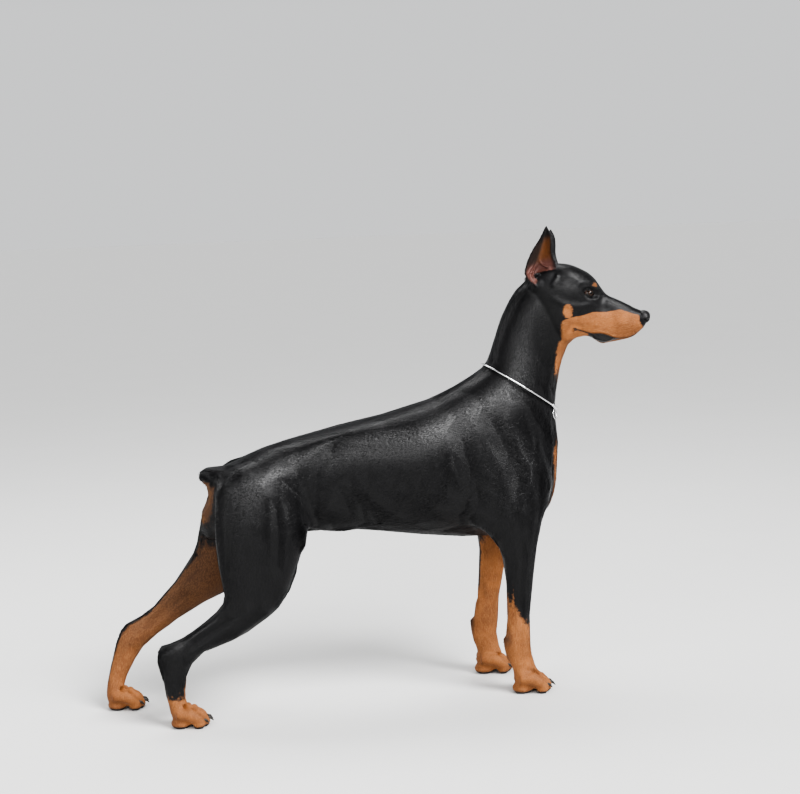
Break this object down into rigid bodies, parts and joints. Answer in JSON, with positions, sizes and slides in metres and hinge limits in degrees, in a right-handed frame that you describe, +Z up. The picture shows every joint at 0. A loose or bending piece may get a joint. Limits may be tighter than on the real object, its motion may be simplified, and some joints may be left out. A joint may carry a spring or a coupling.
{
  "type": "doberman pinscher",
  "caption": "Life-size standing doberman pinscher with cropped ears, docked tail and a slim metal collar; a still model for display or as a scene animal.",
  "frame": {"origin": "bottom centre of the bounding box, on the floor under the dog", "axes": "+X the way the trunk faces (the dog's front), +Y the dog's left, +Z up"},
  "size_m": [1.1369, 0.2292, 0.965],
  "materials": {
    "black_coat": "short, flat, glossy black hair with rust markings on the muzzle, brows, throat, chest, legs, feet and under the tail",
    "nose_leather": "damp, pebbled nose leather",
    "eye": "wet, dark brown",
    "claw": "black horn, satin",
    "collar_metal": "polished, silver coloured"
  },
  "bodies": {
    "root": {"head": "black_coat", "neck": "black_coat", "trunk": "black_coat", "tail": "black_coat", "foreleg_right": "black_coat", "foreleg_left": "black_coat", "hindleg_right": "black_coat", "hindleg_left": "black_coat", "ear_right": "black_coat", "ear_left": "black_coat", "eye_right": "eye", "eye_left": "eye", "nose": "nose_leather", "collar": "collar_metal", "claw_fore_right_1": "claw", "claw_fore_right_2": "claw", "claw_fore_right_3": "claw", "claw_fore_right_4": "claw", "claw_fore_left_1": "claw", "claw_fore_left_2": "claw", "claw_fore_left_3": "claw", "claw_fore_left_4": "claw", "claw_hind_right_1": "claw", "claw_hind_right_2": "claw", "claw_hind_right_3": "claw", "claw_hind_right_4": "claw", "claw_hind_left_1": "claw", "claw_hind_left_2": "claw", "claw_hind_left_3": "claw", "claw_hind_left_4": "claw"}
  },
  "joints": []
}
